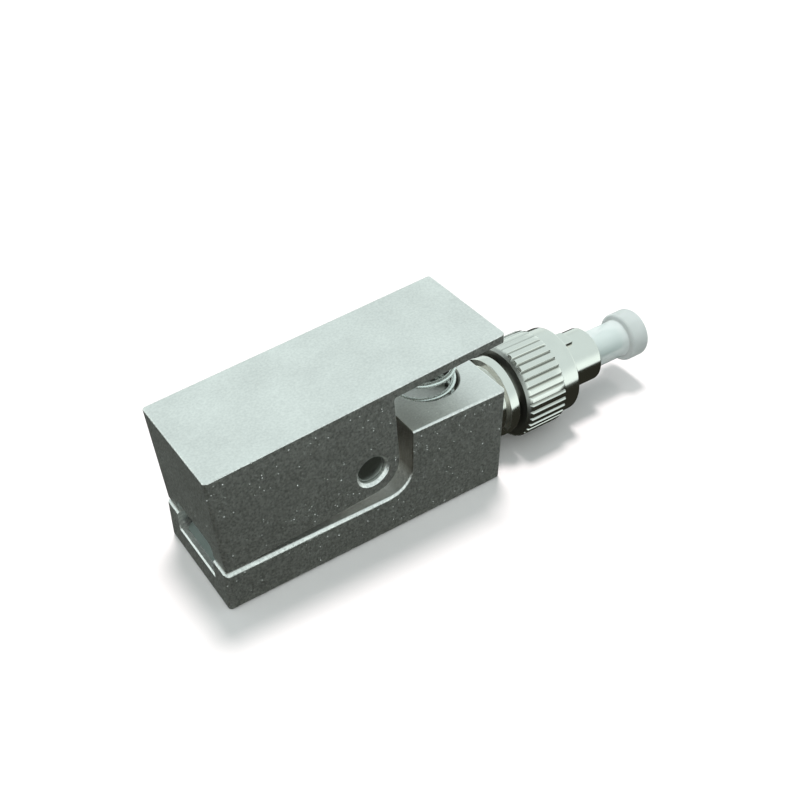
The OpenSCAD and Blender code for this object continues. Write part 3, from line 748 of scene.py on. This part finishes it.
class ADAPTER_OT_base(Operator):
    """Base with its rails, channel, pivot lug and the block that holds the plug"""

    bl_idname = "adapter.base"
    bl_label = "Base"

    def execute(self, context):
        s = sizes(context)
        half_w = BASE_HI.y
        rear, face = BASE_LO.x, BASE_HI.x
        block_x = face - s.block_l
        bm = bmesh.new()
        slab(bm, [(rear, 0), (face, 0), (face, s.block_h), (block_x, s.block_h), (block_x, s.rail_h),
                  (rear, s.rail_h)],
             [s.edge, s.edge, s.edge, s.edge * 0.5, s.hollow_r, s.edge],
             [s.edge, s.upright, s.edge, 0.06 * MM, s.rail_edge, s.upright], half_w, flat=0.35)
        obj = piece("clamp_base", bm, "anodised", context)
        # The base's material adds painted shade to the faces that look backwards above the rails.
        obj.data.materials[0] = blasted_aluminium(context.scene.adapter_finish, s.rail_h + 0.2 * MM)
        lug = s.lug_w / 2
        low, k = s.rail_h / 2, s.knuckle_r
        lug_rear = PIVOT.x - k
        arch = [PIVOT.xz + Vector((-math.cos(a), math.sin(a))) * k for a in (math.pi * i / 48 for i in range(49))]
        arch += [Vector((block_x + MM, PIVOT.z)), Vector((block_x + MM, low)), Vector((lug_rear, low))]
        carve(obj, [lambda b: prism(b, arch, -lug, lug, side_on)], "UNION")
        half = s.channel_w / 2
        seat = Vector(((SPRING_LO.x + SPRING_HI.x) / 2, 0, SPRING_LO.z - 0.03 * MM))
        pocket_r = (SPRING_HI.x - SPRING_LO.x) / 2 + 0.25 * MM
        deep = s.block_h - seat.z
        up, ahead = Vector((0, 0, 1)), Vector((1, 0, 0))
        screw_lo, screw_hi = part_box("block_screws")
        head_r = (screw_hi.y - screw_lo.y) / 2
        set_lo, set_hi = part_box("body_screw")
        set_x = (set_lo.x + set_hi.x) / 2
        set_r = (set_hi.y - set_lo.y) / 2 + 0.01 * MM
        lip = 0.14 * MM
        mouth = [Vector((rear - MM, s.channel_z - lip - MM)), Vector((rear + lip + MM, s.channel_z + MM)),
                 Vector((rear - MM, s.channel_z + MM))]
        cuts = [
            lambda b: prism(b, rectangle(rear - MM, s.channel_z, lug_rear, PIVOT.z), -half, half, side_on),
            lambda b: prism(b, mouth, -half, half, side_on),
            lambda b: spindle(b, seat, up, [(0, pocket_r), (deep - 0.15 * MM, pocket_r),
                                            (deep + 0.05 * MM, pocket_r + 0.2 * MM)]),
            lambda b: spindle(b, Vector((lug_rear - MM, 0, AXIS_Z)), ahead,
                              [(0, 0.41 * MM), (BODY_LO.x - lug_rear + MM, 0.41 * MM)], 32),
            lambda b: spindle(b, Vector((BODY_LO.x, 0, AXIS_Z)), ahead, [(0, 3 * MM), (face - BODY_LO.x + MM, 3 * MM)]),
            lambda b: spindle(b, Vector((set_x, 0, -MM)), up, [(0, set_r), (set_hi.z + MM, set_r)], 48),
        ]
        for x in (screw_lo.x + head_r, screw_hi.x - head_r):
            cuts.append(lambda b, x=x: spindle(b, Vector((x, 0, 0)), up, [
                (-0.3 * MM, head_r + 0.01 * MM), (0, head_r + 0.01 * MM), (0.7 * MM, 0.81 * MM),
                (s.channel_z + MM, 0.81 * MM)], 48))
        carve(obj, cuts)
        reshade(obj)
        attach(obj, "base")
        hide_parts("base")
        return {"FINISHED"}


class ADAPTER_OT_lever(Operator):
    """Lever with its press plate, cheeks, pin holes and recess"""

    bl_idname = "adapter.lever"
    bl_label = "Lever"

    def execute(self, context):
        s = sizes(context)
        half_w = BASE_HI.y
        under = s.lever_rise - s.plate_t
        k = s.knuckle_r
        rear, front = -s.lever_rear, s.lever_front
        soft = s.edge * 0.85
        bm = bmesh.new()
        slab(bm, [(rear, -k), (rear, s.lever_rise), (front, s.lever_rise), (front, under), (k, under), (k, -k)],
             [soft, soft, soft, soft, s.edge, k],
             [s.upright, soft, s.upright, soft, 0.1 * MM, soft], half_w, flat=0.25)
        tilt = tilt_at_pivot(s)
        bmesh.ops.transform(bm, matrix=tilt, verts=bm.verts)
        obj = piece("clamp_lever", bm, "anodised", context)
        slot_r = k + 0.45 * MM
        slot = s.lug_w / 2 + 0.05 * MM
        half = s.channel_w / 2
        roof = s.recess_d - k
        pin_r = (PIN_HI.x - PIN_LO.x) / 2 + 0.01 * MM
        sink = 0.28 * MM
        recess = soften(rectangle(-half, -k - MM, half, roof), [0, 0, 0.7 * MM, 0.7 * MM], 6)
        lug_slot = soften(rectangle(-slot_r, -k - MM, k + MM, slot_r), [0, 0, 0, slot_r], 24)
        across = Vector((0, 1, 0))
        holes = [(-half_w - 0.02 * MM, pin_r + sink + 0.02 * MM), (-half_w + sink, pin_r), (half_w - sink, pin_r),
                 (half_w + 0.02 * MM, pin_r + sink + 0.02 * MM)]
        seat_r = (SPRING_HI.x - SPRING_LO.x) / 2 + 0.25 * MM
        seat = Vector(((SPRING_LO.x + SPRING_HI.x) / 2, 0, s.block_h))
        carve(obj, [
            lambda b: prism(b, recess, rear - MM, 0.05 * MM - slot_r, end_on),
            lambda b: prism(b, lug_slot, -slot, slot, side_on),
            lambda b: spindle(b, Vector((0, 0, 0)), across, holes),
        ], tilt=tilt)
        carve(obj, [lambda b: spindle(b, seat, Vector((0, 0, 1)),
                                      [(0, seat_r), (SPRING_HI.z + 0.03 * MM - s.block_h, seat_r)])])
        reshade(obj)
        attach(obj, "lever")
        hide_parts("lever")
        return {"FINISHED"}


class ADAPTER_OT_pin(Operator):
    """Pivot pin, set back in the lever's cheeks"""

    bl_idname = "adapter.pin"
    bl_label = "Pivot pin"

    def execute(self, context):
        half = (PIN_HI.y - PIN_LO.y) / 2
        r = (PIN_HI.x - PIN_LO.x) / 2
        outline = soften([(-half, 0), (-half, r), (half, r), (half, 0)], [0, 0.22 * MM, 0.22 * MM, 0], 6)
        bm = bmesh.new()
        lathe(bm, outline, 96)
        turn = Matrix.Translation(PIVOT) @ Matrix.Rotation(math.pi / 2, 4, "Z") @ Matrix.Translation((0, 0, -AXIS_Z))
        bmesh.ops.transform(bm, matrix=turn, verts=bm.verts)
        obj = piece("dowel_pin", bm, "steel", context)
        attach(obj, "lever")
        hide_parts("pivot_pin")
        return {"FINISHED"}


def coil(bm, height, outer_d, wire, turns, per_turn=48, sides=16):
    """Round-wire spring on z = 0 with its end turns laid flat and ground."""
    mid_r = (outer_d - wire) / 2
    rings = []
    for i in range(round(turns * per_turn) + 1):
        t = i / per_turn
        rise = (wire / 2 + wire * min(t, 1) + (height - 3 * wire) * min(max((t - 1) / (turns - 2), 0), 1)
                + wire * max(t - turns + 1, 0))
        a = 2 * math.pi * t
        ring = []
        for j in range(sides):
            b = 2 * math.pi * j / sides
            r = mid_r + wire / 2 * math.cos(b)
            z = min(max(rise + wire / 2 * math.sin(b), 0), height)
            ring.append(bm.verts.new((r * math.cos(a), r * math.sin(a), z)))
        rings.append(ring)
    for here, there in zip(rings, rings[1:]):
        for j in range(sides):
            n = (j + 1) % sides
            bm.faces.new((here[j], there[j], there[n], here[n]))
    bm.faces.new(rings[0])
    bm.faces.new(rings[-1])


class ADAPTER_OT_springs(Operator):
    """Round-wire springs: the one under the press plate and the one behind the ferrule"""

    bl_idname = "adapter.springs"
    bl_label = "Springs"

    def execute(self, context):
        s = plug_sizes(context)
        low = Vector(((SPRING_LO.x + SPRING_HI.x) / 2, 0, SPRING_LO.z))
        bm = bmesh.new()
        coil(bm, SPRING_HI.z - SPRING_LO.z, SPRING_HI.x - SPRING_LO.x, s.spring_wire, s.spring_turns)
        bmesh.ops.translate(bm, verts=bm.verts, vec=low)
        press = piece("press_spring", bm, "spring_steel", context, 50)
        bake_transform(press)
        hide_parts("lever_spring")

        lo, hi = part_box("ferrule_spring")
        bm = bmesh.new()
        coil(bm, hi.x - lo.x, hi.z - lo.z, 0.3 * MM, 6, 40, 12)
        turn = Matrix.Translation((lo.x, 0, AXIS_Z)) @ Matrix.Rotation(math.pi / 2, 4, "Y")
        bmesh.ops.transform(bm, matrix=turn, verts=bm.verts)
        push = piece("push_spring", bm, "spring_steel", context, 50)
        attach(push, "base")
        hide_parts("ferrule_spring")
        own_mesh(push)
        return {"FINISHED"}


class ADAPTER_OT_plug_body(Operator):
    """Turned body with the neck and the collar behind the nut"""

    bl_idname = "adapter.plug_body"
    bl_label = "Plug body"

    def execute(self, context):
        s = plug_sizes(context)
        face = BASE_HI.x
        neck = face + s.neck_l
        collar = neck + s.collar_t
        collar_r = (BODY_HI.y - BODY_LO.y) / 2
        flange_rear = BARREL_LO.x - 0.01 * MM
        soft = 0.14 * MM
        outline = [
            (BODY_LO.x, 0.41 * MM, 0), (BODY_LO.x, 3 * MM, soft), (face + 0.01 * MM, 3 * MM, 0),
            (face + 0.01 * MM, s.neck_d / 2, 0.08 * MM), (neck, s.neck_d / 2, 0.12 * MM),
            (neck, collar_r, soft), (collar, collar_r, soft),
            (collar, s.stem_d / 2, 0.1 * MM), (flange_rear, s.stem_d / 2, 0),
            (flange_rear, 2.34 * MM, 0), (BODY_HI.x, 2.34 * MM, 0.05 * MM),
            (BODY_HI.x, 1.75 * MM, 0), (20.87 * MM, 1.75 * MM, 0), (20.87 * MM, 1.1 * MM, 0),
            (neck, 1.1 * MM, 0), (neck, 0.41 * MM, 0),
        ]
        bm = bmesh.new()
        lathe(bm, soften([p[:2] for p in outline], [p[2] for p in outline]), 144)
        obj = piece("turned_body", bm, "nickel", context)
        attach(obj, "base")
        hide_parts("connector_body")
        return {"FINISHED"}


def blend_min(a, b, width):
    """The smaller of a and b, with a rounded change between them."""
    gap = max(width - abs(a - b), 0) / width
    return min(a, b) - gap * gap * width / 4


class ADAPTER_OT_nut(Operator):
    """Coupling nut with a straight knurl, a plain ring and an inner thread"""

    bl_idname = "adapter.nut"
    bl_label = "Coupling nut"

    def execute(self, context):
        s = plug_sizes(context)
        rear, front = NUT_LO.x, NUT_HI.x
        r = (NUT_HI.y - NUT_LO.y) / 2
        ring_r = s.ring_d / 2
        shoulder = rear + s.knurl_l
        cavity = rear + 1.5 * MM
        bore = s.nut_bore / 2
        stem = s.stem_d / 2 + 0.06 * MM
        bevel = s.nut_bevel
        outer = [(rear, stem + 0.1 * MM)]
        outer += [(rear, r - bevel - 0.06 * MM)]
        outer += [(rear + bevel * k / 18, r - bevel + bevel * k / 18) for k in range(19)]
        outer += [(rear + bevel + (shoulder - 0.12 * MM - rear - bevel) * k / 4, r) for k in range(1, 5)]
        outer += [(shoulder - 0.04 * MM, r - 0.05 * MM), (shoulder, r - 0.14 * MM)]
        knurled = len(outer)
        outer += [(shoulder, ring_r + 0.02 * MM), (shoulder + 0.02 * MM, ring_r)]
        outer += [(p.x, p.y) for p in soften([(shoulder, ring_r), (front, ring_r), (front, bore), (shoulder, bore)],
                                             [0, 0.28 * MM, 0.25 * MM, 0], 6)[1:-1]]
        pitch = s.thread_pitch
        turns = int((front - 0.35 * MM - cavity - 0.2 * MM) / pitch)
        for k in range(turns):
            x = front - 0.3 * MM - k * pitch
            outer += [(x, bore), (x - pitch * 0.12, bore), (x - pitch * 0.45, bore + 0.22 * MM),
                      (x - pitch * 0.6, bore + 0.22 * MM), (x - pitch * 0.9, bore)]
        outer += [(cavity, bore), (cavity, stem), (rear + 0.1 * MM, stem)]
        spots = [0, 0.14, 0.24, 0.275, 0.305, 0.33, 0.4, 0.465, 0.5]
        spots += [1 - p for p in reversed(spots[1:-1])]
        steps = [(i + p) * 2 * math.pi / s.grooves for i in range(s.grooves) for p in spots]
        half_w = s.groove_w / 2
        bm = bmesh.new()
        rings = []
        for index, (x, radius) in enumerate(outer):
            ring = []
            for a in steps:
                here = radius
                if index < knurled:
                    part = (a * s.grooves / (2 * math.pi)) % 1
                    across = abs(part - 0.5) * 2 * math.pi * r / s.grooves
                    groove = r - s.groove_depth + across / half_w * s.groove_depth
                    groove = max(groove, r - s.groove_depth + 0.03 * MM)
                    here = min(blend_min(radius, groove, 0.04 * MM), radius)
                ring.append(bm.verts.new((x, here * math.cos(a), AXIS_Z + here * math.sin(a))))
            rings.append(ring)
        count = len(steps)
        for here, there in zip(rings, rings[1:] + rings[:1]):
            for i in range(count):
                j = (i + 1) % count
                bm.faces.new((here[i], here[j], there[j], there[i]))
        obj = piece("knurled_nut", bm, "nickel", context, 38)
        obj.data.materials[0] = knurled_nickel(context.scene.adapter_finish, s)
        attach(obj, "nut")
        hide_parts("coupling_nut")
        return {"FINISHED"}


class ADAPTER_OT_barrel(Operator):
    """Plug barrel with its flange and the key on top"""

    bl_idname = "adapter.barrel"
    bl_label = "Barrel"

    def execute(self, context):
        s = plug_sizes(context)
        rear, front = BARREL_LO.x, BARREL_HI.x
        flange_r = (BARREL_HI.y - BARREL_LO.y) / 2
        r, bore = s.barrel_d / 2, s.barrel_bore / 2
        flange_front = rear + 0.8 * MM
        web_front = front - s.bore_depth
        web_rear = web_front - 0.8 * MM
        hole = 1.45 * MM
        outline = [
            (rear, bore, 0), (rear, flange_r, 0.06 * MM), (flange_front, flange_r, 0.06 * MM),
            (flange_front, r, 0), (front, r, 0.16 * MM), (front, bore, 0.1 * MM), (web_front, bore, 0),
            (web_front, hole, 0.04 * MM), (web_rear, hole, 0), (web_rear, bore, 0),
        ]
        bm = bmesh.new()
        lathe(bm, soften([p[:2] for p in outline], [p[2] for p in outline]), 144)
        obj = piece("plug_barrel", bm, "nickel", context)
        half = s.key_w / 2
        tip = NUT_HI.x + s.key_out
        foot = AXIS_Z + r - 0.3 * MM
        round_tip = [Vector((tip - s.key_w * 2 + 2 * s.key_w * math.cos(a), 2 * s.key_w * math.sin(a)))
                     for a in (math.asin(0.25) * (k / 4 - 1) for k in range(9))]
        plan = [Vector((rear + 0.4 * MM, half)), Vector((rear + 0.4 * MM, -half)), *round_tip]
        plan = soften([(p.x, p.y) for p in plan], [0, 0] + [0.18 * MM] + [0] * 7 + [0.18 * MM], 4)

        def key(b):
            soft = 0.12 * MM
            levels = []
            for z, inset in ((foot, 0), (BARREL_HI.z - soft, 0), (BARREL_HI.z - soft * 0.3, soft * 0.3),
                             (BARREL_HI.z, soft)):
                middle = sum((p.x for p in plan)) / len(plan)
                levels.append([b.verts.new((p.x - math.copysign(inset, p.x - middle),
                                            p.y - math.copysign(inset, p.y) if abs(p.y) > inset else p.y, z))
                               for p in plan])
            for here, there in zip(levels, levels[1:]):
                for i in range(len(plan)):
                    j = (i + 1) % len(plan)
                    b.faces.new((here[i], here[j], there[j], there[i]))
            b.faces.new(levels[0])
            b.faces.new(levels[-1])

        carve(obj, [key], "UNION")
        reshade(obj)
        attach(obj, "base")
        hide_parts("barrel")
        return {"FINISHED"}


class ADAPTER_OT_ferrule(Operator):
    """Ceramic ferrule with a rounded tip and the fibre's bore"""

    bl_idname = "adapter.ferrule"
    bl_label = "Ferrule"

    def execute(self, context):
        rear, front = FERRULE_LO.x, FERRULE_HI.x
        r = (FERRULE_HI.y - FERRULE_LO.y) / 2
        bore = 0.0625 * MM
        outline = soften(
            [(rear, 0.4 * MM), (rear, r), (front - 0.35 * MM, r), (front, r - 0.35 * MM), (front, bore),
             (rear + MM, bore)],
            [0, 0.05 * MM, 0.25 * MM, 0.15 * MM, 0, 0], 5)
        bm = bmesh.new()
        lathe(bm, outline, 96)
        obj = piece("ceramic_ferrule", bm, "ceramic_white", context)
        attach(obj, "ferrule")
        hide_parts("ferrule")
        return {"FINISHED"}


class ADAPTER_OT_cap(Operator):
    """Translucent dust cap: a tube with a thicker, dished end"""

    bl_idname = "adapter.cap"
    bl_label = "Dust cap"

    def execute(self, context):
        s = plug_sizes(context)
        rear, front = CAP_LO.x, CAP_HI.x
        end_r = (CAP_HI.y - CAP_LO.y) / 2
        tube_r = s.cap_tube_d / 2
        end_rear = front - s.cap_end_l
        bore = (FERRULE_HI.y - FERRULE_LO.y) / 2 + 0.02 * MM
        outline = [
            (rear, bore + 0.2 * MM, 0), (rear, tube_r, 0.1 * MM), (end_rear, tube_r, 0.15 * MM),
            (end_rear, end_r, 0.35 * MM), (front, end_r, 0.35 * MM), (front, end_r - 0.75 * MM, 0.12 * MM),
            (front - 0.22 * MM, end_r - 0.95 * MM, 0.12 * MM), (front - 0.22 * MM, 0, 0),
            (end_rear - 0.1 * MM, 0, 0), (end_rear - 0.1 * MM, bore, 0.3 * MM), (rear + 0.2 * MM, bore, 0),
        ]
        bm = bmesh.new()
        lathe(bm, soften([p[:2] for p in outline], [p[2] for p in outline], 6), 144)
        obj = piece("soft_dust_cap", bm, "cap_plastic", context)
        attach(obj, "cap")
        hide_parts("dust_cap")
        return {"FINISHED"}


class ADAPTER_OT_inner_parts(Operator):
    """Finishes the parts that keep their own shape: groove block, pad, screws, tube, ring and holder"""

    bl_idname = "adapter.inner_parts"
    bl_label = "Inner parts"

    def execute(self, context):
        slots = {"groove_block": "dark", "block_screws": "steel", "body_screw": "steel",
                 "guide_tube": "steel", "pressure_pad": "pad_rubber", "slip_ring": "slip_plastic",
                 "ferrule_holder": "nickel"}
        for node, slot in slots.items():
            for index in range(len(frame["nodes"][node].material_slots)):
                frame["nodes"][node].material_slots[index].material = finish_of(context, slot)
        return {"FINISHED"}


class ADAPTER_OT_stage(Operator):
    """Pale floor, soft studio light and the camera"""

    bl_idname = "adapter.stage"
    bl_label = "Stage"

    def execute(self, context):
        stage = context.scene.adapter_stage
        bm = bmesh.new()
        bmesh.ops.create_circle(bm, cap_ends=True, segments=96, radius=1.5)
        bmesh.ops.translate(bm, verts=bm.verts, vec=(0, 0, -0.02 * MM))
        floor = piece("floor", bm, None, context)
        new, t = material("floor_paint")
        t.surface(base_color=t.mix(t.noise(t.place(), 30, 2), shade(stage.floor, 0.985), stage.floor),
                  roughness=0.9)
        floor.data.materials.append(new)
        floor.visible_diffuse = False
        floor.visible_glossy = False

        world = bpy.data.worlds.new("studio")
        context.scene.world = world
        t = Tree(world)
        way = t.node("ShaderNodeTexCoord", out="Generated")
        height = t.part(way, "Z")
        above = t.mix(t.step(height, 0.05, 0.45), stage.horizon, stage.sky)
        glow = t.mix(t.step(height, -0.24, -0.16), stage.dark, above)
        behind = t.node("ShaderNodeVectorMath", {"operation": "DOT_PRODUCT"}, {0: way, 1: (0.48, 0.88, 0.0)}, out="Value")
        strength = t.step(behind, 0.88, 0.98) * stage.back + 1.3
        t.node("ShaderNodeOutputWorld", inputs={
            "Surface": t.node("ShaderNodeBackground", inputs={"Color": glow, "Strength": strength})})

        light = bpy.data.lights.new("key", "SUN")
        light.energy = stage.sun
        light.angle = stage.softness
        key = bpy.data.objects.new("key", light)
        key.rotation_euler = Vector((0.12, 0.24, 1.0)).to_track_quat("Z", "Y").to_euler()
        key.visible_glossy = False
        context.scene.collection.objects.link(key)

        camera = bpy.data.cameras.new("camera")
        camera.lens = stage.lens
        camera.sensor_width = 36
        camera.clip_start = 0.005
        camera.clip_end = 20
        eye = bpy.data.objects.new("camera", camera)
        place = Vector((-38.39, -65.80, 75.53)) * MM
        look = Vector((6.644, -0.796, 10.8)) * MM
        turn = (place - look).to_track_quat("Z", "Y").to_matrix().to_4x4()
        eye.matrix_world = Matrix.Translation(place) @ turn
        context.scene.collection.objects.link(eye)
        context.scene.camera = eye
        context.scene.view_settings.view_transform = "Standard"
        return {"FINISHED"}


OPERATORS = (ADAPTER_OT_base, ADAPTER_OT_lever, ADAPTER_OT_pin, ADAPTER_OT_springs,
             ADAPTER_OT_plug_body, ADAPTER_OT_nut, ADAPTER_OT_barrel, ADAPTER_OT_ferrule,
             ADAPTER_OT_cap, ADAPTER_OT_inner_parts, ADAPTER_OT_stage)


class ADAPTER_PT_panel(Panel):
    """Lists the pieces and their settings"""

    bl_idname = "ADAPTER_PT_panel"
    bl_label = "Bare fibre adapter"
    bl_space_type = "VIEW_3D"
    bl_region_type = "UI"
    bl_category = "Adapter"

    def draw(self, context):
        column = self.layout.column()
        for operator in OPERATORS:
            column.operator(operator.bl_idname)
        for group in GROUPS:
            box = self.layout.box()
            box.label(text=group.replace("adapter_", "").title())
            settings = getattr(context.scene, group)
            for name in settings.__annotations__:
                box.prop(settings, name)


GROUPS = {
    "adapter_clamp": AdapterClampSizes,
    "adapter_plug": AdapterPlugSizes,
    "adapter_finish": AdapterFinish,
    "adapter_stage": AdapterStage,
}


def register():
    for cls in (*GROUPS.values(), *OPERATORS, ADAPTER_PT_panel):
        bpy.utils.register_class(cls)
    for name, cls in GROUPS.items():
        setattr(bpy.types.Scene, name, PointerProperty(type=cls))


def unregister():
    for name in GROUPS:
        delattr(bpy.types.Scene, name)
    for cls in reversed((*GROUPS.values(), *OPERATORS, ADAPTER_PT_panel)):
        bpy.utils.unregister_class(cls)


def main():
    register()
    bpy.ops.adapter.base()
    bpy.ops.adapter.lever()
    bpy.ops.adapter.pin()
    bpy.ops.adapter.springs()
    bpy.ops.adapter.plug_body()
    bpy.ops.adapter.nut()
    bpy.ops.adapter.barrel()
    bpy.ops.adapter.ferrule()
    bpy.ops.adapter.cap()
    bpy.ops.adapter.inner_parts()
    bpy.ops.adapter.stage()


if __name__ == "__main__":
    main()
